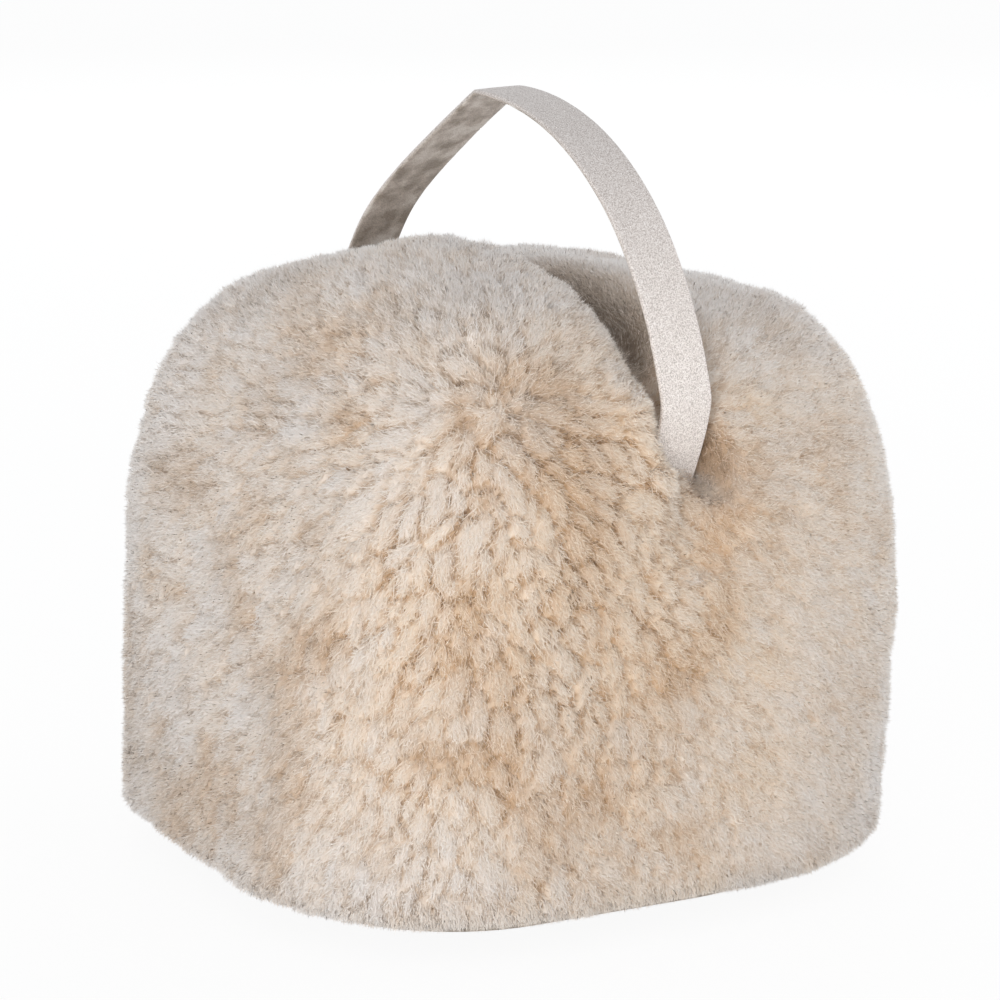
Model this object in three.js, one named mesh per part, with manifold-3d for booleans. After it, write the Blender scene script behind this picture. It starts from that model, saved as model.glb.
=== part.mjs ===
// A weighted door stop: a soft, heavy cube covered in clipped fleece, with a flat leather base
// and a leather carry strap arched over its top. Millimetres, +Z up. The origin is the middle of
// the base, on the floor. The front face looks along -Y, and the strap runs from front to back.
import * as THREE from "three";
import { ConvexHull } from "three/addons/math/ConvexHull.js";
import { mergeVertices } from "three/addons/utils/BufferGeometryUtils.js";
import Module from "manifold-3d";

const wasm = await Module();
wasm.setup();

// The stuffed body, measured over the wool.
const bodyWidth = 200;
const bodyDepth = 198;
const bodyHeight = 173;
const uprightEdgeRadiusTop = 45; // plan radius of the four upright edges, at the top
const uprightEdgeRadiusBase = 70; // the same at the base
const topEdgeRadius = 70;
const bottomEdgeRadius = 15;
const sideBulge = 2;
const topBulge = 2;
const bodyTaper = 0.138; // share of the width that the top is narrower than the base
const bodyTwist = 0.22; // radians that the top is turned against the base
const leanRight = 5; // how far the top stands to +X of the base
const leanBack = 0.5; // how far the top stands to +Y of the base

// The top is two humps with a crease between them, below the strap.
const leftHumpRise = 19;
const leftHumpRadius = 58;
const leftHumpX = -34;
const leftHumpY = -17;
const creaseDepthMiddle = 4;
const creaseDepthEnds = 10;
const creaseRadius = 11;
const dimpleDepth = 4; // hollow in the wool beside each end of the strap
const dimpleRadius = 8;
const dimpleAside = 12; // from the strap's middle line, to the right of each end as it is faced

// The wool's locks: each is a small mound with a valley all round it.
const lockSpacing = 8.8;
const lockRise = 1.4;
const lockSink = 2.4;
const undersideLockSpacing = 17;
const undersideSlope = 0.97; // the underside is all that faces down more than this
const lockTries = 30000;
const lockSeed = 7;
const woolClearance = 0.5; // from the wool of the underside to the floor

// The carry strap, a stiff folded band that meets at a soft point above the middle.
const strapWidth = 17.8;
const strapThickness = 1.8;
const strapEdgeRadius = 0.45;
const strapRise = 62; // from the top of the body to the peak, on the band's outer face
const strapPeakBack = 4; // how far the peak stands behind the middle
const strapBendDrop = 18; // from the top of the body down to where the band turns inwards
const strapBendSetback = 11; // from the front and back of the wool in to the band's outer face
const strapEntryDrop = 43; // from the top of the body down to where the band is all in the wool
const strapTail = 34; // from the bend down to the end of the band, in the wool
const strapTailPull = 6.2;
const strapTailInset = 11.2; // how far a tail's end lies behind its bend
const frontPeakSlope = -0.02; // radians below level as the front half leaves the peak
const frontPeakPull = 43;
const frontBendPull = 51;
const frontBendLean = 13; // how far the pull at the front bend leans in to the middle
const backPeakSlope = 0.58;
const backPeakPull = 91.5;
const backBendPull = 33;
const backBendLean = 28;
const strapSteps = 14;

// The base panel, a flat piece of leather set into the wool of the underside.
const baseWidth = 158;
const baseDepth = 156;
const baseThickness = 2.8;
const baseCornerRadius = 52;
const baseCornerSteps = 8;

const seamGap = 0.3; // between any two pieces that meet

// The strap is placed by the leaning, turning body at the height where it goes into the wool.
const strapEntryZ = bodyHeight - strapEntryDrop;
const strapBendY = bodyDepth / 2 - strapBendSetback - strapThickness / 2;
const strapBendZ = bodyHeight - strapBendDrop;
const strapPeakZ = bodyHeight + strapRise - strapThickness / 2;
const entryShare = strapEntryZ / bodyHeight;
const strapX = leanRight * entryShare;
const strapY = leanBack * entryShare;
const strapTurn = bodyTwist * (entryShare - 0.5);
const baseTurn = -bodyTwist / 2;

const bell = (distance, radius) => Math.exp(-((distance / radius) ** 2));
const clamp = THREE.MathUtils.clamp;

// The point of a cube with rounded edges that lies in one direction from its middle,
// and the way that its surface faces there.
function roundedCube(direction) {
  const half = new THREE.Vector3(bodyWidth, bodyDepth, bodyHeight).multiplyScalar(0.5);
  const face = direction.clone().divideScalar(
    Math.max(Math.abs(direction.x), Math.abs(direction.y), Math.abs(direction.z)));
  const core = face.clone().multiply(half);
  const planRadius = THREE.MathUtils.lerp(
    uprightEdgeRadiusBase, uprightEdgeRadiusTop, (face.z + 1) / 2);
  core.x = clamp(core.x, planRadius - half.x, half.x - planRadius);
  core.y = clamp(core.y, planRadius - half.y, half.y - planRadius);
  core.z = clamp(core.z, bottomEdgeRadius - half.z, half.z - topEdgeRadius);
  const endRadius = face.z > 0 ? topEdgeRadius : bottomEdgeRadius;
  const radii = new THREE.Vector3(planRadius, planRadius, endRadius);
  const reach = face.clone().multiply(half).sub(core).divide(radii).normalize();
  const point = reach.clone().multiply(radii).add(core);
  const outward = reach.clone().divide(radii).normalize();
  const swell = new THREE.Vector3(
    Math.abs(face.x) === 1 ? sideBulge : 0,
    Math.abs(face.y) === 1 ? sideBulge : 0,
    face.z === 1 ? topBulge : 0);
  const flat = (value) => (Math.abs(value) === 1 ? 1 : Math.cos((value * Math.PI) / 2));
  swell.multiplyScalar(flat(face.x) * flat(face.y) * flat(face.z));
  point.x += Math.sign(face.x) * swell.x;
  point.y += Math.sign(face.y) * swell.y;
  point.z += swell.z + half.z;
  return { point, outward };
}

// The rounded cube as it settles: tapered, twisted and leaning, with its humps and hollows.
function bodySkin(direction) {
  const { point, outward } = roundedCube(direction);
  const height = point.z / bodyHeight;
  const turn = bodyTwist * (height - 0.5);
  const widen = 1 + bodyTaper * (0.5 - height);
  const up = new THREE.Vector3(0, 0, 1);
  point.x *= widen;
  point.y *= widen;
  point.applyAxisAngle(up, turn);
  outward.applyAxisAngle(up, turn);
  point.x += leanRight * height;
  point.y += leanBack * height;
  const topShare = clamp(outward.z, 0, 1);
  const under = new THREE.Vector2(point.x - strapX, point.y - strapY)
    .rotateAround(new THREE.Vector2(), -strapTurn); // x across the strap, y along it
  const hump = leftHumpRise * topShare
    * bell(Math.hypot(under.x - leftHumpX, under.y - leftHumpY), leftHumpRadius);
  const towardsEnd = clamp(Math.abs(under.y) / strapBendY, 0, 1);
  const crease = THREE.MathUtils.lerp(creaseDepthMiddle, creaseDepthEnds, towardsEnd)
    * Math.sqrt(topShare) * bell(under.x, creaseRadius);
  const fromDimple = Math.hypot(Math.abs(under.y) - strapBendY,
    under.x + Math.sign(under.y) * dimpleAside, point.z - strapEntryZ);
  const dimple = dimpleDepth * bell(fromDimple, dimpleRadius);
  point.addScaledVector(outward, hump - crease - dimple);
  return { point, outward };
}

// Directions for the middles of the locks, evenly but not regularly spread over the wool.
function spreadLocks() {
  THREE.MathUtils.seededRandom(lockSeed);
  const anyWay = () => THREE.MathUtils.seededRandom() - 0.5;
  const cellSize = Math.max(lockSpacing, undersideLockSpacing);
  const steps = [-1, 0, 1];
  const around = steps.flatMap((x) => steps.flatMap((y) => steps.map((z) => [x, y, z])));
  const cells = new Map();
  const cellOf = (x, y, z) => cells.get(`${x},${y},${z}`) || [];
  const locks = [];
  for (let i = 0; i < lockTries; i++) {
    const direction = new THREE.Vector3(anyWay(), anyWay(), anyWay());
    const { point, outward } = bodySkin(direction);
    const spacing = outward.z < -undersideSlope ? undersideLockSpacing : lockSpacing;
    const at = point.clone().divideScalar(cellSize).floor();
    const isFree = around.every(([x, y, z]) => cellOf(at.x + x, at.y + y, at.z + z)
      .every((other) => other.distanceTo(point) > spacing));
    if (!isFree) continue;
    cells.set(`${at.x},${at.y},${at.z}`, [...cellOf(at.x, at.y, at.z), point]);
    locks.push(direction.normalize());
  }
  return locks;
}

// Wool over a point of the skin, raised or sunk along the way that the skin faces.
// The wool is pressed flat where the body stands on it.
function woolPoint(direction, rise) {
  const { point, outward } = bodySkin(direction);
  point.addScaledVector(outward, rise * clamp(point.z / bottomEdgeRadius, 0, 1));
  point.z = Math.max(point.z, woolClearance);
  return point;
}

// Every lock is a fan from its raised middle to the sunken corners between it and its neighbours.
function makeFleece() {
  const hull = new ConvexHull().setFromPoints(spreadLocks());
  const faces = hull.faces;
  const corner = new Map();
  for (const face of faces) {
    const edge = face.edge;
    const middle = new THREE.Vector3()
      .add(edge.head().point).add(edge.next.head().point).add(edge.prev.head().point);
    corner.set(face, woolPoint(middle, -lockSink));
  }
  const tops = new Map();
  const positions = [];
  for (const face of faces) {
    let edge = face.edge;
    do {
      const lock = edge.tail().point;
      if (!tops.has(lock)) tops.set(lock, woolPoint(lock, lockRise));
      positions.push(
        ...tops.get(lock), ...corner.get(edge.twin.face), ...corner.get(face));
      edge = edge.next;
    } while (edge !== face.edge);
  }
  const geometry = new THREE.BufferGeometry();
  geometry.setAttribute("position", new THREE.Float32BufferAttribute(positions, 3));
  return geometry;
}

// One half of the strap's middle line, from the peak to the bend above the wool and then down
// and in through the wool, as (y, z) points.
function strapHalf(side, peakSlope, peakPull, bendPull, bendLean) {
  const peak = new THREE.Vector2(strapPeakBack, strapPeakZ);
  const bend = new THREE.Vector2(side * strapBendY, strapBendZ);
  const peakHandle = new THREE.Vector2(
    peak.x + side * peakPull * Math.cos(peakSlope), peak.y - peakPull * Math.sin(peakSlope));
  const bendHandle = new THREE.Vector2(bend.x - side * bendLean, bend.y + bendPull);
  const arch = new THREE.CubicBezierCurve(peak, peakHandle, bendHandle, bend);
  const tailEnd = new THREE.Vector2(bend.x - side * strapTailInset, bend.y - strapTail);
  const tailHandle = bend.clone().sub(bendHandle).setLength(strapTailPull).add(bend);
  const tail = new THREE.QuadraticBezierCurve(bend, tailHandle, tailEnd);
  const tailSteps = Math.ceil(strapSteps / 2);
  return [...arch.getPoints(strapSteps), ...tail.getPoints(tailSteps).slice(1)];
}

// The strap's edge-on outline, swelled on all sides by a margin.
function strapOutline(margin) {
  const front = strapHalf(-1, frontPeakSlope, frontPeakPull, frontBendPull, frontBendLean);
  const back = strapHalf(1, backPeakSlope, backPeakPull, backBendPull, backBendLean);
  const line = [...front.reverse(), ...back.slice(1)];
  const last = line.length - 1;
  const along = (i) => line[Math.min(i + 1, last)].clone().sub(line[Math.max(i - 1, 0)]).normalize();
  line[0].addScaledVector(along(0), -margin);
  line[last].addScaledVector(along(last), margin);
  const half = strapThickness / 2 + margin;
  const side = (sign) => line.map((p, i) => {
    const ahead = along(i);
    return new THREE.Vector2(p.x - sign * half * ahead.y, p.y + sign * half * ahead.x);
  });
  return new THREE.Shape([...side(-1), ...side(1).reverse()]);
}

// A band of the strap's outline, laid across X.
function strapBand(margin, width, edgeRadius) {
  const geometry = new THREE.ExtrudeGeometry(strapOutline(margin), {
    depth: width - 2 * edgeRadius,
    bevelEnabled: edgeRadius > 0,
    bevelThickness: edgeRadius,
    bevelSize: edgeRadius,
    bevelOffset: -edgeRadius,
    bevelSegments: 1,
  });
  geometry.translate(0, 0, edgeRadius - width / 2);
  geometry.applyMatrix4(new THREE.Matrix4().makeBasis(
    new THREE.Vector3(0, 1, 0), new THREE.Vector3(0, 0, 1), new THREE.Vector3(1, 0, 0)));
  return geometry;
}

// A flat plate with round corners, standing on z = 0.
function basePlate(margin, thickness) {
  const x = baseWidth / 2 + margin;
  const y = baseDepth / 2 + margin;
  const r = baseCornerRadius + margin;
  const outline = new THREE.Shape();
  outline.absarc(x - r, y - r, r, 0, Math.PI / 2);
  outline.absarc(r - x, y - r, r, Math.PI / 2, Math.PI);
  outline.absarc(r - x, r - y, r, Math.PI, 1.5 * Math.PI);
  outline.absarc(x - r, r - y, r, 1.5 * Math.PI, 2 * Math.PI);
  return new THREE.ExtrudeGeometry(outline, {
    depth: thickness, bevelEnabled: false, curveSegments: baseCornerSteps,
  });
}

function toSolid(geometry) {
  const bare = geometry.clone();
  bare.deleteAttribute("normal");
  bare.deleteAttribute("uv");
  const merged = mergeVertices(bare, 1e-3);
  return new wasm.Manifold(new wasm.Mesh({
    numProp: 3,
    vertProperties: merged.attributes.position.array,
    triVerts: new Uint32Array(merged.index.array),
  }));
}

function toGeometry(solid) {
  const mesh = solid.getMesh();
  const geometry = new THREE.BufferGeometry();
  geometry.setAttribute("position", new THREE.Float32BufferAttribute(mesh.vertProperties, 3));
  geometry.setIndex([...mesh.triVerts]);
  const faceted = geometry.toNonIndexed();
  faceted.computeVertexNormals();
  return faceted;
}

function named(name, geometry, color, roughness) {
  const material = new THREE.MeshStandardMaterial({ color, roughness, metalness: 0 });
  const mesh = new THREE.Mesh(geometry, material);
  mesh.name = name;
  return mesh;
}

// The fleece body, with a slot for each end of the strap and a shallow bed for the base panel.
function makeBody() {
  const strapSpace = strapBand(seamGap, strapWidth + 2 * seamGap, 0)
    .rotateZ(strapTurn).translate(strapX, strapY, 0);
  const bed = basePlate(seamGap, baseThickness + seamGap).rotateZ(baseTurn);
  const solid = toSolid(makeFleece()).subtract(toSolid(strapSpace)).subtract(toSolid(bed));
  return named("fleece_body", toGeometry(solid), 0xd8c8b2, 0.95);
}

function makeBase() {
  const panel = named("base_panel", basePlate(0, baseThickness), 0xb9a792, 0.9);
  panel.rotation.z = baseTurn;
  return panel;
}

function makeStrap() {
  const band = strapBand(0, strapWidth, strapEdgeRadius);
  const strap = named("handle_strap", band, 0xd6cbc3, 0.85);
  strap.rotation.z = strapTurn;
  strap.position.set(strapX, strapY, 0);
  return strap;
}

const doorStop = new THREE.Group();
doorStop.add(makeBody(), makeBase(), makeStrap());

export default doorStop;
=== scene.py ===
import math

import bpy
import numpy as np
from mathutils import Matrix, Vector
from mathutils.kdtree import KDTree


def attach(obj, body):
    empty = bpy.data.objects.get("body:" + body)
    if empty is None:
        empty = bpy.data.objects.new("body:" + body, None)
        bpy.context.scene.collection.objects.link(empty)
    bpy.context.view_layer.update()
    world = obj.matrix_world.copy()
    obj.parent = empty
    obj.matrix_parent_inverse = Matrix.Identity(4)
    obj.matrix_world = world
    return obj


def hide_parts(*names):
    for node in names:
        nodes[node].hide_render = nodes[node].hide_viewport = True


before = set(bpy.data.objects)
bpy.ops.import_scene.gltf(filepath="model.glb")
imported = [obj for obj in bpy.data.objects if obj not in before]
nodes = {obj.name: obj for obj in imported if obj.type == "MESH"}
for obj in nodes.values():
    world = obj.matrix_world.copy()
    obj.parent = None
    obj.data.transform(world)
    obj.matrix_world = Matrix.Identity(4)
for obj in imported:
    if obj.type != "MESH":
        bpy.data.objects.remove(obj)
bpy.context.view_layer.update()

scene = bpy.context.scene
scene.view_settings.view_transform = "Standard"
print("frame loaded")

# Where the camera stands round the door stop, in degrees, the point that it faces, and how far
# the picture is shifted. Lengths are in metres here and below, and the turns and slopes of the
# shapes are in radians.
cameraPlan = dict(azimuth=-33, elevation=14.5, distance=1.2, middle=(0.0025, 0, 0.085),
                  lens=140.4, film=36, nearest=0.05, shiftRight=-0.003, shiftUp=0.0730)


def makeCamera(plan):
    a, e = math.radians(plan["azimuth"]), math.radians(plan["elevation"])
    back = Vector((math.sin(a) * math.cos(e), -math.cos(a) * math.cos(e), math.sin(e)))
    camera = bpy.data.objects.new("camera", bpy.data.cameras.new("camera"))
    camera.data.lens = plan["lens"]
    camera.data.sensor_width = plan["film"]
    camera.data.clip_start = plan["nearest"]
    camera.data.shift_x = plan["shiftRight"]
    camera.data.shift_y = plan["shiftUp"]
    camera.location = Vector(plan["middle"]) + back * plan["distance"]
    camera.rotation_euler = back.to_track_quat("Z", "Y").to_euler()
    scene.collection.objects.link(camera)
    scene.camera = camera


makeCamera(cameraPlan)
print("camera placed")

tiny = 1e-9     # keeps a division by a length of nothing harmless


def unit(v):
    return v / np.maximum(np.linalg.norm(v, axis=-1, keepdims=True), tiny)


def dot(a, b):
    return (a * b).sum(-1, keepdims=True)


def bell(distance, radius):
    return np.exp(-(distance / radius) ** 2)


def smoothStep(low, high, value):
    t = np.clip((value - low) / (high - low), 0, 1)
    return t * t * (3 - 2 * t)


# Soft random hills come from a cube of random heights this many cells wide. Each use of them has
# a seed of its own, and one that makes a direction takes the two seeds after it as well.
noiseCells = 32
noiseSeeds = dict(comb=31, warp=41, closing=47, swell=48, patches=49, broad=50, tone=51, fineTone=52,
                  waver=61, dimpling=63)


# From -1 to 1, in hills about as wide as size.
def softNoise(points, size, seed):
    table = np.random.default_rng(seed).uniform(-1, 1, (noiseCells, noiseCells, noiseCells))
    cell = np.floor(points / size + 2 * noiseCells).astype(int)
    part = points / size + 2 * noiseCells - cell
    part = part * part * (3 - 2 * part)
    total = 0
    for corner in np.ndindex(2, 2, 2):
        weight = np.prod(np.where(corner, part, 1 - part), 1)
        spot = (cell + corner) % noiseCells
        total = total + weight * table[spot[:, 0], spot[:, 1], spot[:, 2]]
    return total


# The middle of the strap, how far it is turned, and how it arches.
strapPlan = dict(turn=0.0553, middle=(0.00376, 0.00038), width=0.0178, thickness=0.0018,
                 peakAlong=0.004, peakHeight=0.2341, bendReach=0.0871, bendHeight=0.155,
                 tail=0.034, tailPull=0.0062, tailInset=0.0112, archSteps=64, tailSteps=20,
                 front=dict(peakSlope=-0.02, peakPull=0.043, bendPull=0.051, bendLean=0.013),
                 back=dict(peakSlope=0.58, peakPull=0.0915, bendPull=0.033, bendLean=0.028))


# How far points lie across the strap's upright plane, and along it.
def acrossAndAlong(points):
    c, s = math.cos(strapPlan["turn"]), math.sin(strapPlan["turn"])
    x = points[:, 0] - strapPlan["middle"][0]
    y = points[:, 1] - strapPlan["middle"][1]
    return x * c + y * s, y * c - x * s


# The body's hide is a rounded cube that tapers, twists and leans. It has a hump on the left of
# the crease under the strap, and is a little fuller halfway up the front right edge. Each end of
# the strap goes in beside a dimple, and a collar and a lap of wool cover its other side.
hidePlan = dict(size=(0.200, 0.198, 0.173), sideRadiusTop=0.045, sideRadiusBase=0.070,
                topRadius=0.070, bottomRadius=0.015, bulge=0.002, taper=0.138, twist=0.22,
                leanRight=0.005, leanBack=0.0005,
                humpRise=0.019, humpRadius=0.058, humpAcross=-0.034, humpAlong=-0.017,
                creaseMiddle=0.015, creaseEnds=0.0165, creaseRadius=0.0120, creaseFade=(0.062, 0.082),
                fullRise=0.0034, fullRadius=0.040, fullMiddle=(0.086, -0.085, 0.088),
                dimple=dict(depth=0.0125, radii=(0.0052, 0.012, 0.0100), aside=0.0108, height=0.136),
                collar=dict(depth=-0.0100, radii=(0.0072, 0.011, 0.012), aside=-0.0148, height=0.152),
                lap=dict(depth=-0.0100, radii=(0.0065, 0.011, 0.0085), aside=-0.0095, height=0.131),
                cells=104)


# 1 in the middle of a dimple, collar or lap at either end of the strap, and 0 away from it.
def fromEnd(point, dent):
    across, along = acrossAndAlong(point)
    beside = across * -np.sign(along) - dent["aside"]
    reach = np.abs(along) - strapPlan["bendReach"]
    away = np.stack([beside, reach, point[:, 2] - dent["height"]], 1) / dent["radii"]
    return bell(np.linalg.norm(away, axis=1), 1)


def roundedCube(cube, plan):
    half = np.array(plan["size"]) / 2
    up = (cube[:, 2:] + 1) / 2
    sideRadius = plan["sideRadiusBase"] + (plan["sideRadiusTop"] - plan["sideRadiusBase"]) * up
    endRadius = np.where(cube[:, 2:] > 0, plan["topRadius"], plan["bottomRadius"])
    radii = np.hstack([sideRadius, sideRadius, endRadius])
    low = np.hstack([sideRadius, sideRadius, np.full_like(up, plan["bottomRadius"])]) - half
    high = half - np.hstack([sideRadius, sideRadius, np.full_like(up, plan["topRadius"])])
    core = np.clip(cube * half, low, high)
    reach = unit((cube * half - core) / radii)
    onFace = np.isclose(np.abs(cube), 1)
    onFace[:, 2] &= cube[:, 2] > 0
    # each face swells most at its middle and not at all along its edges
    fromMiddle = np.sort(np.abs(cube), 1)[:, :2]
    swell = plan["bulge"] * np.prod(np.cos(fromMiddle * np.pi / 2), 1)
    point = reach * radii + core + np.sign(cube) * onFace * swell[:, None]
    point[:, 2] += half[2]
    return point, unit(reach / radii)


def hideShape(facing, plan=hidePlan):
    point, outward = roundedCube(facing / np.abs(facing).max(1, keepdims=True), plan)
    height = point[:, 2] / plan["size"][2]
    point[:, :2] *= (1 + plan["taper"] * (0.5 - height))[:, None]
    turn = plan["twist"] * (height - 0.5)
    c, s = np.cos(turn), np.sin(turn)
    for v in (point, outward):
        v[:, 0], v[:, 1] = v[:, 0] * c - v[:, 1] * s, v[:, 0] * s + v[:, 1] * c
    point[:, 0] += plan["leanRight"] * height
    point[:, 1] += plan["leanBack"] * height
    topShare = np.clip(outward[:, 2], 0, 1)
    across, along = acrossAndAlong(point)
    fromHump = np.hypot(across - plan["humpAcross"], along - plan["humpAlong"])
    hump = plan["humpRise"] * topShare * bell(fromHump, plan["humpRadius"])
    atEnd = smoothStep(*plan["creaseFade"], np.abs(along))
    crease = plan["creaseMiddle"] + (plan["creaseEnds"] - plan["creaseMiddle"]) * atEnd
    crease = crease * np.sqrt(topShare) * bell(across, plan["creaseRadius"])
    fromFull = np.linalg.norm(point - plan["fullMiddle"], axis=1)
    full = plan["fullRise"] * bell(fromFull, plan["fullRadius"])
    dents = sum(plan[name]["depth"] * fromEnd(point, plan[name]) for name in ("dimple", "collar", "lap"))
    return point + outward * (hump + full - crease - dents)[:, None]


# A grid over the hide, as evenly spaced as the six faces of a ball's cube allow.
def hideGrid(cells):
    steps = np.tan(np.linspace(-1, 1, cells + 1) * np.pi / 4)
    u, v = np.meshgrid(steps, steps, indexing="ij")
    ones = np.ones_like(u)
    corner = np.arange((cells + 1) ** 2).reshape(cells + 1, cells + 1)
    quads = np.stack([corner[:-1, :-1], corner[1:, :-1], corner[1:, 1:], corner[:-1, 1:]], -1)
    quads = quads.reshape(-1, 4)
    directions, faces = [], []
    for axis in range(3):
        for side in (-1, 1):
            grid = [u, v]
            grid.insert(axis, ones * side)
            flip = (side > 0) == (axis == 1)
            directions.append(np.stack(grid, -1).reshape(-1, 3))
            faces.append((quads[:, ::-1] if flip else quads) + len(faces) * (cells + 1) ** 2)
    directions, faces = np.vstack(directions), np.vstack(faces)
    # the six faces share the points along their edges
    _, first, where = np.unique(np.round(directions, 6), axis=0, return_index=True, return_inverse=True)
    return directions[first], where.ravel()[faces]


def quadNormals(points, quads):
    corners = points[quads]
    return np.cross(corners[:, 2] - corners[:, 0], corners[:, 3] - corners[:, 1])


def pointNormals(points, quads):
    eachQuad = quadNormals(points, quads)
    total = np.zeros_like(points)
    for i in range(4):
        np.add.at(total, quads[:, i], eachQuad)
    return unit(total)


gridWays, gridQuads = hideGrid(hidePlan["cells"])
hidePoints = hideShape(gridWays)
hideNormals = pointNormals(hidePoints, gridQuads)
print("hide made:", len(gridQuads), "faces")


# Places spread evenly over the hide, and which way the hide faces there.
def scatter(count, rng):
    areas = np.linalg.norm(quadNormals(hidePoints, gridQuads), axis=1) / 2
    running = np.cumsum(areas)
    at = (np.arange(count) + rng.random(count)) / count * running[-1]
    quads = gridQuads[np.searchsorted(running, at).clip(0, len(areas) - 1)]
    u, v = rng.random((count, 1)), rng.random((count, 1))
    weights = [(1 - u) * (1 - v), u * (1 - v), u * v, (1 - u) * v]
    place = sum(w * hidePoints[quads[:, i]] for i, w in enumerate(weights))
    facing = unit(sum(w * hideNormals[quads[:, i]] for i, w in enumerate(weights)))
    return place, facing


# How the wool lies: it runs away from a whorl on the front left corner, and into the crease.
combPlan = dict(whorl=(-0.052, -0.083, 0.157), downwards=0.15, wander=0.35, wanderSize=0.03,
                creasePull=0.8, creaseReach=0.028, creaseFacing=(0.3, 0.8))


def combing(place, facing, plan=combPlan):
    lean = unit(place - np.array(plan["whorl"]))
    across, along = acrossAndAlong(place)
    onTop = smoothStep(*plan["creaseFacing"], facing[:, 2])
    lean[:, 2] -= plan["downwards"] * (1 - np.abs(facing[:, 2]))
    lean[:, 0] -= np.sign(across) * plan["creasePull"] * onTop * bell(across, plan["creaseReach"])
    for i in range(3):
        lean[:, i] += plan["wander"] * softNoise(place, plan["wanderSize"], noiseSeeds["comb"] + i)
    return unit(lean - facing * dot(lean, facing))


# The locks are long ovals that lie along the comb like scales, and part where they meet. They
# are bold round the front left edge and calmer elsewhere, most of all on the right.
lockPlan = dict(seed=5, tries=52000, across=0.0053, along=0.0112, unevenness=0.30, turning=0.22,
                calmSize=0.85, boldSize=0.3, searchCell=1.2, neighbours=6,
                calmLeft=0.62, calmRight=0.24, leftToRight=(-0.07, 0.03),
                boldMiddle=(-0.055, -0.088, 0.122), boldReach=0.072,
                warp=0.0014, warpSize=0.007, gap=0.16, dome=0.38, endGap=0.60, sideways=(0.3, 0.85),
                closing=0.30, closingSize=0.012, closingEdge=0.35,
                high=0.0003, low=-0.0035, tilt=0.0006, rise=0.0004, swell=0.0007, swellSize=0.013)


def towardsRight(place, plan=lockPlan):
    return smoothStep(*plan["leftToRight"], place[:, 0])


def boldness(place, plan=lockPlan):
    away = np.linalg.norm(place - np.array(plan["boldMiddle"]), axis=1)
    calm = plan["calmLeft"] + (plan["calmRight"] - plan["calmLeft"]) * towardsRight(place)
    return calm + (1 - calm) * bell(away, plan["boldReach"])


def makeLocks(plan):
    rng = np.random.default_rng(plan["seed"])
    place, facing = scatter(plan["tries"], rng)
    order = rng.permutation(len(place))
    place, facing = place[order], facing[order]
    ahead = combing(place, facing)
    ahead = unit(ahead + rng.normal(0, plan["turning"], place.shape))
    ahead = unit(ahead - facing * dot(ahead, facing))
    beside = np.cross(facing, ahead)
    size = np.exp(rng.normal(0, plan["unevenness"], len(place)))
    size *= plan["calmSize"] + plan["boldSize"] * boldness(place, plan)
    wide, long = plan["across"] * size, plan["along"] * size
    # a try is kept where it lies in the oval of no lock kept so far
    cells, kept = {}, []
    keys = np.floor(place / (plan["along"] * plan["searchCell"])).astype(int)
    for i in range(len(place)):
        x, y, z = keys[i]
        near = [j for dx in (-1, 0, 1) for dy in (-1, 0, 1) for dz in (-1, 0, 1)
                for j in cells.get((x + dx, y + dy, z + dz), ())]
        if near:
            gap = place[near] - place[i]
            reach = ((gap @ beside[i]) / wide[i]) ** 2 + ((gap @ ahead[i]) / long[i]) ** 2
            reach += ((gap @ facing[i]) / wide[i]) ** 2
            if reach.min() < 1:
                continue
        cells.setdefault((x, y, z), []).append(i)
        kept.append(i)
    tree = KDTree(len(kept))
    for n, i in enumerate(kept):
        tree.insert(place[i], n)
    tree.balance()
    tone = rng.normal(0, 1, len(kept))
    rise = rng.uniform(-1, 1, len(kept))
    return dict(place=place[kept], ahead=ahead[kept], beside=beside[kept], wide=wide[kept],
                long=long[kept], tone=tone, rise=rise, tree=tree)


# Where places lie among the locks: the lock that each is in, how high the wool stands there, and
# its level, from 0 for tan wool at the skin to 1 for pale tips.
def lockField(place, facing, plan=lockPlan):
    ways = [softNoise(place, plan["warpSize"], noiseSeeds["warp"] + i) for i in range(3)]
    warped = place + plan["warp"] * np.stack(ways, 1)
    near = np.array([[hit[1] for hit in locks["tree"].find_n(p, plan["neighbours"])] for p in warped])
    gap = warped[:, None, :] - locks["place"][near]
    across = (gap * locks["beside"][near]).sum(2) / locks["wide"][near]
    along = (gap * locks["ahead"][near]).sum(2) / locks["long"][near]
    reach = np.hypot(across, along)
    order = np.argsort(reach, axis=1)
    rows = np.arange(len(place))
    first, second = order[:, 0], order[:, 1]
    lock = near[rows, first]
    across, along = across[rows, first], along[rows, first]
    toMiddle = reach[rows, first]
    toEdge = (reach[rows, second] - toMiddle) / 2
    inner = toMiddle / np.maximum(toMiddle + toEdge, tiny)
    # locks part along their sides more than at their ends, and here and there not at all
    sideways = smoothStep(*plan["sideways"], np.abs(across) / np.maximum(toMiddle, tiny))
    closed = softNoise(place, plan["closingSize"], noiseSeeds["closing"])
    parting = plan["endGap"] + (1 - plan["endGap"]) * sideways
    parting *= 1 - plan["closing"] * smoothStep(-plan["closingEdge"], plan["closingEdge"], closed)
    body = 1 - (1 - smoothStep(0, plan["gap"], toEdge) * (1 - plan["dome"] * inner ** 2)) * parting
    bold = boldness(place, plan)
    relief = plan["high"] + (plan["low"] - plan["high"]) * (1 - body) * bold
    relief += plan["tilt"] * bold * along + plan["rise"] * locks["rise"][lock]
    relief += plan["swell"] * softNoise(place, plan["swellSize"], noiseSeeds["swell"])
    relief *= smoothStep(0, hidePlan["bottomRadius"], place[:, 2])
    level, coolShadeAndPatches = woolLevel(place, facing, body, bold)
    return dict(lock=lock, level=level, coolShadeAndPatches=coolShadeAndPatches, relief=relief, bold=bold,
                across=across * locks["wide"][lock])
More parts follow.
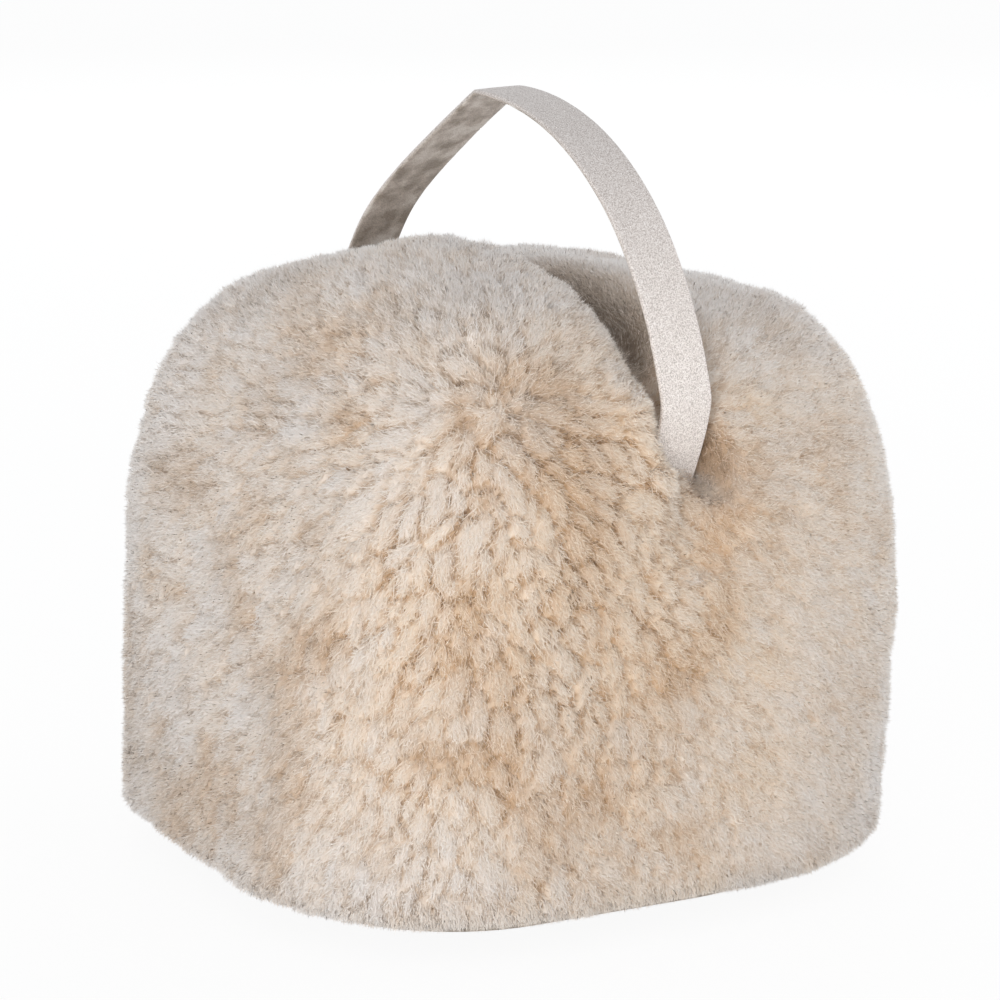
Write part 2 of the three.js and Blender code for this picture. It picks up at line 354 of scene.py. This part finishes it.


# Tan wool shows between the locks and in soft patches. The crease and the dimples are painted
# with shade: their wool turns dark there. The clipped edge round the base is painted with light:
# its wool turns pale against the shade near the floor.
levelPlan = dict(calmGaps=0.15, creaseShadeAside=0.002, creaseReach=0.0125, creaseFade=(0.060, 0.076),
                 creaseFacing=(0.30, 0.70), dimple=1.35, patches=0.42, patchSize=0.015,
                 patchEdge=(0.0, 0.7), calmPatches=0.35, broad=0.36, broadSize=0.030,
                 broadEdge=(0.05, 0.75), broadOnRight=0.40, paintedRimLight=0.7, rimHeight=(0.004, 0.018),
                 coolShare=0.3)


# The level of the wool, and how far it stays grey, not warm, there although tan wool shows:
# painted shade keeps the crease grey, and in part the dimples, and the broad patches do too.
def woolLevel(place, facing, body, bold, plan=levelPlan):
    fromCrease, alongCrease = acrossAndAlong(place)
    # painted shade: the wool in the crease under the strap turns dark, most on top, where shade falls
    crease = bell(fromCrease - plan["creaseShadeAside"], plan["creaseReach"])
    crease = crease * (1 - smoothStep(*plan["creaseFade"], np.abs(alongCrease)))
    crease = crease * smoothStep(*plan["creaseFacing"], facing[:, 2])
    # painted shade: the wool in the dimples where the strap goes in turns dark, where shade falls
    dimple = np.minimum(1, plan["dimple"] * fromEnd(place, hidePlan["dimple"]))
    patch = plan["patches"] * (plan["calmPatches"] + (1 - plan["calmPatches"]) * bold)
    patch = patch * smoothStep(*plan["patchEdge"], softNoise(place, plan["patchSize"], noiseSeeds["patches"]))
    broad = softNoise(place, plan["broadSize"], noiseSeeds["broad"])
    broad = plan["broad"] * smoothStep(*plan["broadEdge"], broad)
    broad *= 1 - (1 - plan["broadOnRight"]) * towardsRight(place)
    gaps = (1 - body) * (plan["calmGaps"] + (1 - plan["calmGaps"]) * bold)
    level = (1 - gaps) * (1 - crease) * (1 - dimple) * (1 - patch) * (1 - broad)
    # painted light: the wool near the floor turns pale, against the shade that falls there
    level += (1 - level) * plan["paintedRimLight"] * (1 - smoothStep(*plan["rimHeight"], place[:, 2]))
    return level, crease + plan["coolShare"] * (dimple + broad)


locks = makeLocks(lockPlan)
print(len(locks["place"]), "locks")


def meshOf(name, points, faces, corners):
    mesh = bpy.data.meshes.new(name)
    count = len(faces) // corners
    mesh.vertices.add(len(points))
    mesh.vertices.foreach_set("co", points.astype(np.float32).ravel())
    mesh.loops.add(len(faces))
    mesh.loops.foreach_set("vertex_index", faces.astype(np.int32))
    mesh.polygons.add(count)
    mesh.polygons.foreach_set("loop_start", np.arange(0, count * corners, corners, dtype=np.int32))
    mesh.update(calc_edges=True)
    mesh.shade_smooth()
    piece = bpy.data.objects.new(name, mesh)
    scene.collection.objects.link(piece)
    return piece


def setValues(mesh, name, values):
    layer = mesh.attributes.new(name, "FLOAT", "POINT")
    layer.data.foreach_set("value", values.astype(np.float32).ravel())


# A new material whose plain finish is in the plan.
def newMaterial(name, plan):
    material = bpy.data.materials.new(name)
    material.use_nodes = True
    tree = material.node_tree
    shader = tree.nodes["Principled BSDF"]
    shader.inputs["Roughness"].default_value = plan["roughness"]
    if "sheen" in plan:
        shader.inputs["Specular IOR Level"].default_value = plan["specular"]
        shader.inputs["Sheen Weight"].default_value = plan["sheen"]
        shader.inputs["Sheen Roughness"].default_value = plan["sheenRoughness"]
    return material, tree, shader


def ramp(tree, source, stops):
    node = tree.nodes.new("ShaderNodeValToRGB")
    while len(node.color_ramp.elements) < len(stops):
        node.color_ramp.elements.new(0.5)
    for element, (place, color) in zip(node.color_ramp.elements, stops):
        element.position = place
        element.color = (*color, 1)
    tree.links.new(source, node.inputs[0])
    return node.outputs[0]


def mixColor(tree, share, first, second, way="MIX"):
    node = tree.nodes.new("ShaderNodeMix")
    node.data_type = "RGBA"
    node.blend_type = way
    for socket, value in ((node.inputs[0], share), (node.inputs[6], first), (node.inputs[7], second)):
        if isinstance(value, bpy.types.NodeSocket):
            tree.links.new(value, socket)
        else:
            socket.default_value = value
    return node.outputs[2]


def attribute(tree, name):
    node = tree.nodes.new("ShaderNodeAttribute")
    node.attribute_name = name
    return node.outputs["Fac"]


# Wool is tan at the skin and pale at the tips. It is warm round the middle of the front and in
# its gaps, and greyer elsewhere, partly its own tone and partly painted sheen towards the slanting
# edges. It is greyer still on top, as painted sheen, and greyer in the crease and the dimples, as
# painted shade.
woolPlan = dict(warm=((0.0, (0.30, 0.17, 0.08)), (0.3, (0.68, 0.46, 0.28)),
                      (0.6, (0.88, 0.73, 0.57)), (1.0, (0.95, 0.87, 0.77))),
                grey=((0.0, (0.25, 0.195, 0.15)), (0.3, (0.66, 0.57, 0.485)),
                      (0.6, (0.84, 0.78, 0.73)), (1.0, (0.93, 0.905, 0.88))),
                warmMiddle=(-0.015, -0.098, 0.095), warmReach=0.095, warmLeast=0.02, warmMost=0.95,
                warmUnderTopSheen=0.12, topFacing=(0.4, 0.9), warmGaps=0.38, greyingInShadeAndPatches=0.76,
                lockTone=0.08, waves=0.24, waveSize=0.022, fineWaves=0.12, fineWaveSize=0.007,
                roughness=0.9, specular=0.2, sheen=0.2, sheenRoughness=0.5)


def woolMaterial(plan):
    material, tree, shader = newMaterial("wool", plan)
    depth, tone = attribute(tree, "depth"), attribute(tree, "tone")
    color = mixColor(tree, tone, ramp(tree, depth, plan["grey"]), ramp(tree, depth, plan["warm"]))
    tree.links.new(color, shader.inputs["Base Color"])
    return material


wool = woolMaterial(woolPlan)


# How warm the wool is, from 0 for grey to 1.
def woolTone(place, facing, field, plan=woolPlan):
    # partly painted sheen: the wool turns greyer away from the middle of the front, towards the slanting
    # edges
    away = np.linalg.norm(place - np.array(plan["warmMiddle"]), axis=1)
    warm = plan["warmLeast"] + (plan["warmMost"] - plan["warmLeast"]) * bell(away, plan["warmReach"])
    # painted sheen: the top turns greyer, as sheen at a slant makes it
    warm *= 1 - (1 - plan["warmUnderTopSheen"]) * smoothStep(*plan["topFacing"], facing[:, 2])
    warm += plan["lockTone"] * locks["tone"][field["lock"]]
    # painted shade: the crease and the dimples turn greyer here, as do the broad patches
    warm += plan["warmGaps"] * (1 - field["level"]) - plan["greyingInShadeAndPatches"] * field["coolShadeAndPatches"]
    warm += plan["waves"] * softNoise(place, plan["waveSize"], noiseSeeds["tone"])
    warm += plan["fineWaves"] * softNoise(place, plan["fineWaveSize"], noiseSeeds["fineTone"])
    return np.clip(warm, 0, 1)


# The close wool under the fibres. It lies deeper near the floor, behind their fringe.
undercoatPlan = dict(sink=0.0014, sinkAtFloor=0.0028, floorReach=(0.004, 0.014), floorGap=0.0006,
                     skinDepth=0.04, levelDepth=0.60)


def makeUndercoat(plan):
    field = lockField(hidePoints, hideNormals)
    nearFloor = 1 - smoothStep(*plan["floorReach"], hidePoints[:, 2])
    rise = field["relief"] - plan["sink"] - (plan["sinkAtFloor"] - plan["sink"]) * nearFloor
    points = hidePoints + hideNormals * rise[:, None]
    points[:, 2] = np.maximum(points[:, 2], plan["floorGap"])
    piece = meshOf("fleece_undercoat", points, gridQuads.ravel(), 4)
    setValues(piece.data, "depth", plan["skinDepth"] + plan["levelDepth"] * field["level"])
    setValues(piece.data, "tone", woolTone(hidePoints, hideNormals, field))
    piece.data.materials.append(wool)
    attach(piece, "root")
    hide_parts("fleece_body")


makeUndercoat(undercoatPlan)
print("undercoat made")

# The fibres, one thin blade to each. Most lie along the locks, a few to each strand, and gather
# to the lock's middle at their tips. They stand up more where the locks are calm.
fibrePlan = dict(seed=11, strands=228000, fibres=4, combShare=0.5, strandTurn=0.30,
                 length=0.0025, lengths=(0.75, 1.2), stretch=(0.7, 1.2), calmLength=0.55,
                 width=0.000275, widths=(0.8, 1.3), sink=0.0014, tuck=0.0022, rise=0.0002,
                 gather=0.28, spread=0.0006, frizz=0.42, lift=0.07, roll=0.25, floorGap=0.0003,
                 # how much of the lock's roundness and slope the light sees on each fibre
                 round=0.7, slope=0.8, steepest=0.6, normalTurn=0.15,
                 # the outermost fibres near the floor have their normals turned up, and catch the light
                 curlHeight=(0.004, 0.020), curl=0.1)

# The rest is short fuzz that stands up from the locks.
fuzzPlan = dict(share=0.38, length=0.0014, width=0.0002, sink=0.0003, stand=0.6, lean=0.55, turn=0.40)

# How deep in the wool a fibre's colour is taken, from 0 at the skin to 1 at the tips.
shadePlan = dict(least=0.08, most=0.82, jitter=0.125, fuzzJitter=1.3, darkest=-1.3, root=0.6,
                 fuzzRoot=0.85, toneJitter=0.05, columns=24, columnInset=0.1, depthInset=0.02)


def makeStrands(plan, rng):
    spot, facing = scatter(plan["strands"], rng)
    field = lockField(spot, facing)
    ahead = unit(combing(spot, facing) * plan["combShare"] + locks["ahead"][field["lock"]]
                 + rng.normal(0, plan["strandTurn"], spot.shape))
    ahead = unit(ahead - facing * dot(ahead, facing))
    length = plan["length"] * rng.uniform(*plan["lengths"], len(spot))
    lying = plan["calmLength"] + (1 - plan["calmLength"]) * field["bold"]
    root = spot - ahead * (length * lying)[:, None]
    rootField = lockField(root, facing)
    # a root that lies in the next lock goes in under it
    beneath = (rootField["lock"] != field["lock"]) * plan["tuck"] * field["bold"]
    beside = locks["beside"][field["lock"]]
    bulge = field["across"] / locks["wide"][field["lock"]] * plan["round"] * field["bold"]
    slope = (field["relief"] - rootField["relief"]) / length
    slope = np.clip(slope, -plan["steepest"], plan["steepest"]) * plan["slope"]
    normal = unit(facing - ahead * slope[:, None] + beside * bulge[:, None])
    nearFloor = 1 - smoothStep(*plan["curlHeight"], spot[:, 2])
    normal[:, 2] += nearFloor * np.clip(plan["curl"] - normal[:, 2], 0, 1)
    skin = spot + facing * field["relief"][:, None]
    return dict(root=root + facing * (rootField["relief"] - plan["sink"] - beneath)[:, None],
                tip=skin - beside * (field["across"] * plan["gather"])[:, None] + facing * plan["rise"],
                skin=skin, facing=facing, normal=unit(normal), ahead=ahead,
                level=field["level"], tone=woolTone(spot, facing, field))


def makeFibres(plan, fuzz, shade):
    rng = np.random.default_rng(plan["seed"])
    strands = makeStrands(plan, rng)
    parts = {name: np.repeat(part, plan["fibres"], 0) for name, part in strands.items()}
    facing, total = parts["facing"], len(parts["facing"])
    isFuzz = rng.random(total) < fuzz["share"]
    fuzzy = isFuzz[:, None]
    shift = rng.normal(0, plan["spread"], (total, 3))
    shift -= facing * dot(shift, facing)
    lying = parts["tip"] - parts["root"]
    frizz = rng.normal(0, plan["frizz"], (total, 3))
    frizz += facing * (rng.normal(0, plan["lift"], (total, 1)) - dot(frizz, facing))
    upright = unit(facing * fuzz["stand"] + parts["ahead"] * fuzz["lean"]
                   + rng.normal(0, fuzz["turn"], (total, 3)))
    root = np.where(fuzzy, parts["skin"] - facing * fuzz["sink"], parts["root"]) + shift
    lying += frizz * np.linalg.norm(lying, axis=1, keepdims=True)
    along = np.where(fuzzy, upright * fuzz["length"], lying)
    tip = root + along * rng.uniform(*plan["stretch"], (total, 1))
    broad = unit(np.cross(facing, unit(tip - root)))
    broad = unit(broad + facing * rng.normal(0, plan["roll"], (total, 1)))
    width = np.where(fuzzy, fuzz["width"], plan["width"])
    broad *= width / 2 * rng.uniform(*plan["widths"], (total, 1))
    points = np.stack([root + broad, root - broad, tip], 1)
    # every blade's face looks out of the wool
    faceOut = np.cross(points[:, 1] - points[:, 0], points[:, 2] - points[:, 0])
    turned = (faceOut * facing).sum(1) < 0
    points[turned] = points[turned][:, [1, 0, 2]]
    points[:, :, 2] = np.maximum(points[:, :, 2], plan["floorGap"])
    jitter = shade["jitter"] * np.where(isFuzz, shade["fuzzJitter"], 1)
    jitter = jitter * np.maximum(rng.normal(0, 1, total), shade["darkest"])
    tipDepth = np.clip(shade["least"] + shade["most"] * parts["level"] + jitter, 0, 1)
    rootDepth = tipDepth * np.where(isFuzz, shade["fuzzRoot"], shade["root"])
    depth = np.stack([rootDepth, rootDepth, tipDepth], 1)
    tone = np.clip(parts["tone"] + rng.normal(0, shade["toneJitter"], total), 0, 1)
    normal = unit(parts["normal"] + rng.normal(0, plan["normalTurn"], (total, 3)))
    return dict(points=points, depth=depth, tone=tone, normal=normal, facing=facing)


# One piece of the fleece: the chosen fibres, lit by normals of their own. The columns of the UV
# map are tones, and its height is the depth in the wool, so a baked picture stays small.
def makeBlades(name, fibres, chosen, plan=shadePlan):
    points, depth, tone = (fibres[part][chosen] for part in ("points", "depth", "tone"))
    piece = meshOf(name, points.reshape(-1, 3), np.arange(len(points) * 3), 3)
    mesh = piece.data
    columns, inset = plan["columns"], plan["columnInset"]
    column = np.clip(np.floor(tone * columns), 0, columns - 1)
    setValues(mesh, "depth", depth)
    setValues(mesh, "tone", np.repeat((column + 0.5) / columns, 3))
    normals = mesh.attributes.new("custom_normal", "FLOAT_VECTOR", "POINT")
    eachNormal = np.repeat(fibres["normal"][chosen], 3, 0)
    normals.data.foreach_set("vector", eachNormal.astype(np.float32).ravel())
    left, right = (column + inset) / columns, (column + 1 - inset) / columns
    across = np.stack([left, right, (left + right) / 2], 1)
    upwards = depth * (1 - 2 * plan["depthInset"]) + plan["depthInset"]
    layer = mesh.uv_layers.new(name="OFBake")
    layer.data.foreach_set("uv", np.stack([across, upwards], 2).astype(np.float32).ravel())
    mesh.materials.append(wool)
    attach(piece, "root")
    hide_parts("fleece_body")
    print(name, len(points), "fibres, own normals:", mesh.has_custom_normals)


# The fleece is made in five pieces, and the base panel covers the middle of the underside.
fleecePlan = dict(sides=("fleece_right", "fleece_back", "fleece_left", "fleece_front"),
                  top="fleece_top", topFacing=0.7, panelFacing=-0.7, panelRadius=0.075)


def makeFleece(fibres, plan):
    facing, tips = fibres["facing"], fibres["points"][:, 2]
    panel = (facing[:, 2] < plan["panelFacing"]) & (np.hypot(tips[:, 0], tips[:, 1]) < plan["panelRadius"])
    quarterTurn = math.pi / 2
    fromRight = np.arctan2(facing[:, 1], facing[:, 0]) + quarterTurn / 2
    side = np.floor(fromRight / quarterTurn).astype(int) % len(plan["sides"])
    onTop = facing[:, 2] > plan["topFacing"]
    for i, name in enumerate(plan["sides"]):
        makeBlades(name, fibres, ~onTop & ~panel & (side == i))
    makeBlades(plan["top"], fibres, onTop)


makeFleece(makeFibres(fibrePlan, fuzzPlan, shadePlan), fleecePlan)


# The strap's middle line from end to end, as (along, height) pairs.
def strapLine(plan=strapPlan):
    peak = np.array((plan["peakAlong"], plan["peakHeight"] - plan["thickness"] / 2))
    halves = []
    for side, bends in ((-1, plan["front"]), (1, plan["back"])):
        bend = np.array((side * plan["bendReach"], plan["bendHeight"]))
        slope = bends["peakSlope"]
        peakHandle = peak + bends["peakPull"] * np.array((side * math.cos(slope), -math.sin(slope)))
        bendHandle = bend + np.array((-side * bends["bendLean"], bends["bendPull"]))
        t = np.linspace(0, 1, plan["archSteps"] + 1)[:, None]
        arch = (1 - t) ** 3 * peak + 3 * (1 - t) ** 2 * t * peakHandle
        arch = arch + 3 * (1 - t) * t * t * bendHandle + t ** 3 * bend
        handle = bend + unit(bend - bendHandle) * plan["tailPull"]
        end = bend - np.array((side * plan["tailInset"], plan["tail"]))
        t = np.linspace(0, 1, plan["tailSteps"] + 1)[1:, None]
        tail = (1 - t) ** 2 * bend + 2 * (1 - t) * t * handle + t * t * end
        halves.append(np.vstack([arch, tail]))
    return np.vstack([halves[0][::-1], halves[1][1:]])


# The strap is two layers of soft leather, glued back to back: round outside, with a fine seam
# down the middle of each edge, and gently uneven as cut leather is. The colours are dark, middle
# and light places of the grain and of the nap. The nap inside is darker, partly its own colour and
# partly painted shade, and the outside is greyer over the top as painted shade.
bandPlan = dict(name="strap_band", edgeRadius=0.00055, edgeAngles=(67, 45, 22, 0),
                seamDepth=0.00018, seamHalf=0.00016, seamShade=0.3, crown=0.00012, acrossSteps=22,
                waver=0.00022, waverSize=0.02, waverFrom=(0.004, 0.0085), sidesApart=0.05,
                dimpling=0.00007, dimplingSize=0.0035,
                outerColor=((0.34, (0.52, 0.465, 0.43)), (0.5, (0.775, 0.705, 0.66)),
                            (0.66, (0.94, 0.89, 0.85))),
                innerColor=((0.36, (0.33, 0.285, 0.24)), (0.5, (0.48, 0.425, 0.38)),
                            (0.66, (0.68, 0.635, 0.59))),
                blotch=150, blotchDetail=3.0, napShare=0.35,
                nap=((0.3, (0.1, 0.1, 0.1)), (0.7, (0.9, 0.86, 0.82))),
                topShade=((0.165, (1, 1, 1)), (0.225, (0.77, 0.775, 0.78))),
                grain=2600, grainDepth=0.0004, roughness=0.92)

# What the strap's leather and the base panel's have in common.
leatherPlan = dict(grainDetail=1.5, bumpStrength=0.5, specular=0.2, sheen=0.15, sheenRoughness=0.5)


# Once round the strap's section, as (across, outwards, share of the inner side's colour).
def bandOutline(plan):
    half, flat = strapPlan["width"] / 2, strapPlan["thickness"] / 2
    r, crownRise, seam = plan["edgeRadius"], plan["crown"], plan["seamHalf"]
    xs = np.linspace(-half + r, half - r, plan["acrossSteps"] + 1)
    crown = crownRise * (1 - (xs / half) ** 2)
    outline = [(x, flat - crownRise + c, 0.0) for x, c in zip(xs, crown)]
    bends = [math.radians(angle) for angle in plan["edgeAngles"]]
    right = [(half - r + r * math.cos(v), flat - crownRise - r + r * math.sin(v), 0.0) for v in bends]
    groove = [(half, seam, 0.0), (half - plan["seamDepth"], 0.0, plan["seamShade"]), (half, -seam, 0.0)]
    low = [(x, -y, 1.0) for x, y, inner in reversed(right)]
    outline += right + groove + low
    outline += [(x, -flat + crownRise - c, 1.0) for x, c in zip(xs[::-1], crown[::-1])]
    outline += [(-x, y, inner) for x, y, inner in reversed(right + groove + low)]
    return np.array(outline)


def makeBand(plan):
    line = strapLine()
    ahead = unit(np.gradient(line, axis=0))
    out = np.stack([-ahead[:, 1], ahead[:, 0]], 1)
    outline = bandOutline(plan)
    count, ring = len(line), len(outline)
    across = np.tile(outline[:, 0], count)
    lift = np.tile(outline[:, 1], count)
    side = np.sign(across) * smoothStep(*plan["waverFrom"], np.abs(across))
    base = np.repeat(line, ring, 0)
    # the two edges waver each in its own way
    wave = np.stack([np.sign(across) * plan["sidesApart"], base[:, 0], base[:, 1]], 1)
    across = across + side * plan["waver"] * softNoise(wave, plan["waverSize"], noiseSeeds["waver"])
    faceOut = np.repeat(out, ring, 0)
    middle = base + faceOut * lift[:, None]
    c, s = math.cos(strapPlan["turn"]), math.sin(strapPlan["turn"])
    points = np.stack([strapPlan["middle"][0] + across * c - middle[:, 0] * s,
                       strapPlan["middle"][1] + across * s + middle[:, 0] * c, middle[:, 1]], 1)
    dent = plan["dimpling"] * softNoise(points, plan["dimplingSize"], noiseSeeds["dimpling"])
    dent = dent * np.sign(lift)
    points += np.stack([-faceOut[:, 0] * s, faceOut[:, 0] * c, faceOut[:, 1]], 1) * dent[:, None]
    spot = np.arange(count * ring).reshape(count, ring)
    nextSpot = np.roll(spot, -1, axis=1)
    quads = np.stack([spot[:-1], nextSpot[:-1], nextSpot[1:], spot[1:]], -1).reshape(-1, 4)
    caps = [spot[0][::-1].tolist(), spot[-1].tolist()]
    mesh = bpy.data.meshes.new(plan["name"])
    mesh.from_pydata(points.tolist(), [], quads.tolist() + caps)
    mesh.update()
    mesh.shade_smooth()
    setValues(mesh, "inside", np.tile(outline[:, 2], count))
    piece = bpy.data.objects.new(plan["name"], mesh)
    scene.collection.objects.link(piece)
    mesh.materials.append(leatherMaterial("strapLeather", plan))
    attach(piece, "root")
    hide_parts("handle_strap")


def noise(tree, place, scale, detail):
    node = tree.nodes.new("ShaderNodeTexNoise")
    tree.links.new(place, node.inputs["Vector"])
    node.inputs["Scale"].default_value = scale
    node.inputs["Detail"].default_value = detail
    return node.outputs["Fac"]


# The strap's outside, greyer over the top as painted shade, gives way to a darker and blotchier
# nap inside, partly its own colour and partly painted shade.
def addNap(tree, place, grain, outer, plan):
    parts = tree.nodes.new("ShaderNodeSeparateXYZ")
    tree.links.new(place, parts.inputs[0])
    # painted shade: the outside turns greyer over the top of the strap
    outer = mixColor(tree, 1.0, outer, ramp(tree, parts.outputs["Z"], plan["topShade"]), "MULTIPLY")
    # the nap inside is dark partly as its own colour and partly as painted shade
    inner = ramp(tree, noise(tree, place, plan["blotch"], plan["blotchDetail"]), plan["innerColor"])
    inner = mixColor(tree, plan["napShare"], inner, ramp(tree, grain, plan["nap"]), "OVERLAY")
    return mixColor(tree, attribute(tree, "inside"), outer, inner)


# Soft brushed leather with a fine grain.
def leatherMaterial(name, plan, common=leatherPlan):
    material, tree, shader = newMaterial(name, {**common, "roughness": plan["roughness"]})
    place = tree.nodes.new("ShaderNodeTexCoord").outputs["Object"]
    grain = noise(tree, place, plan["grain"], common["grainDetail"])
    color = ramp(tree, grain, plan["outerColor"])
    if "innerColor" in plan:
        color = addNap(tree, place, grain, color, plan)
    tree.links.new(color, shader.inputs["Base Color"])
    bump = tree.nodes.new("ShaderNodeBump")
    bump.inputs["Strength"].default_value = common["bumpStrength"]
    bump.inputs["Distance"].default_value = plan["grainDepth"]
    tree.links.new(grain, bump.inputs["Height"])
    tree.links.new(bump.outputs["Normal"], shader.inputs["Normal"])
    return material


makeBand(bandPlan)
print("strap made")

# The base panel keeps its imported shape, in the same leather, a little darker.
panelPlan = dict(outerColor=((0.25, (0.40, 0.34, 0.28)), (0.5, (0.48, 0.41, 0.34)),
                             (0.75, (0.56, 0.49, 0.42))),
                 grain=900, grainDepth=0.0003, roughness=0.85)
panel = nodes["base_panel"]
panel.data.materials.clear()
panel.data.materials.append(leatherMaterial("baseLeather", panelPlan))
print("base panel finished")

# The floor, and the sky that lights the door stop. The camera sees white behind it.
white = (1, 1, 1, 1)
stagePlan = dict(floorSize=6, floorDrop=0.0005, floorColor=(0.93, 0.93, 0.93, 1), floorWhite=0.93,
                 roughness=1, horizon=(1, 0.995, 0.99), overhead=(0.77, 0.79, 0.825),
                 overheadFrom=0.8, worldStrength=0.87)


def makeFloor(plan):
    s, z = plan["floorSize"], -plan["floorDrop"]
    floor = meshOf("floor", np.array([(-s, -s, z), (s, -s, z), (s, s, z), (-s, s, z)]), np.arange(4), 4)
    material, tree, shader = newMaterial("floor", plan)
    shader.inputs["Base Color"].default_value = plan["floorColor"]
    path = tree.nodes.new("ShaderNodeLightPath")
    glow = tree.nodes.new("ShaderNodeEmission")
    glow.inputs["Color"].default_value = white
    mix = tree.nodes.new("ShaderNodeMixShader")
    share = tree.nodes.new("ShaderNodeMath")
    share.operation = "MULTIPLY"
    share.inputs[1].default_value = plan["floorWhite"]
    tree.links.new(path.outputs["Is Camera Ray"], share.inputs[0])
    tree.links.new(share.outputs[0], mix.inputs[0])
    tree.links.new(shader.outputs[0], mix.inputs[1])
    tree.links.new(glow.outputs[0], mix.inputs[2])
    tree.links.new(mix.outputs[0], tree.nodes["Material Output"].inputs[0])
    floor.data.materials.append(material)


def makeWorld(plan):
    world = bpy.data.worlds.new("studio")
    scene.world = world
    world.use_nodes = True
    tree = world.node_tree
    shade = tree.nodes["Background"]
    shade.inputs["Strength"].default_value = plan["worldStrength"]
    place = tree.nodes.new("ShaderNodeTexCoord")
    parts = tree.nodes.new("ShaderNodeSeparateXYZ")
    tree.links.new(place.outputs["Generated"], parts.inputs[0])
    stops = ((0.0, plan["horizon"]), (plan["overheadFrom"], plan["overhead"]))
    tree.links.new(ramp(tree, parts.outputs["Z"], stops), shade.inputs["Color"])
    seen = tree.nodes.new("ShaderNodeBackground")
    seen.inputs["Color"].default_value = white
    seen.inputs["Strength"].default_value = 1
    path = tree.nodes.new("ShaderNodeLightPath")
    mix = tree.nodes.new("ShaderNodeMixShader")
    tree.links.new(path.outputs["Is Camera Ray"], mix.inputs[0])
    tree.links.new(shade.outputs[0], mix.inputs[1])
    tree.links.new(seen.outputs[0], mix.inputs[2])
    tree.links.new(mix.outputs[0], tree.nodes["World Output"].inputs[0])


# Square soft boxes, all turned to the middle of the door stop.
lampTarget = (0, 0, 0.09)
lampPlans = (dict(name="key", place=(-1.42, -1.38, 0.5), size=0.9, watts=10.2, color=(1, 0.985, 0.965)),
             dict(name="low", place=(-1.0, -1.0, 0.13), size=0.24, watts=2.8, color=(1, 0.985, 0.97)),
             dict(name="side", place=(1.7, -0.1, 0.5), size=0.9, watts=7, color=(0.97, 0.985, 1)),
             dict(name="back", place=(0.9, 1.5, 0.8), size=0.9, watts=6, color=(0.98, 0.99, 1)))


def softBox(plan):
    lamp = bpy.data.lights.new(plan["name"], "AREA")
    lamp.shape = "SQUARE"
    lamp.size = plan["size"]
    lamp.energy = plan["watts"]
    lamp.color = plan["color"]
    box = bpy.data.objects.new(plan["name"], lamp)
    box.location = plan["place"]
    box.rotation_euler = (Vector(plan["place"]) - Vector(lampTarget)).to_track_quat("Z", "Y").to_euler()
    scene.collection.objects.link(box)


makeFloor(stagePlan)
makeWorld(stagePlan)
for plan in lampPlans:
    softBox(plan)
print("stage and light made")
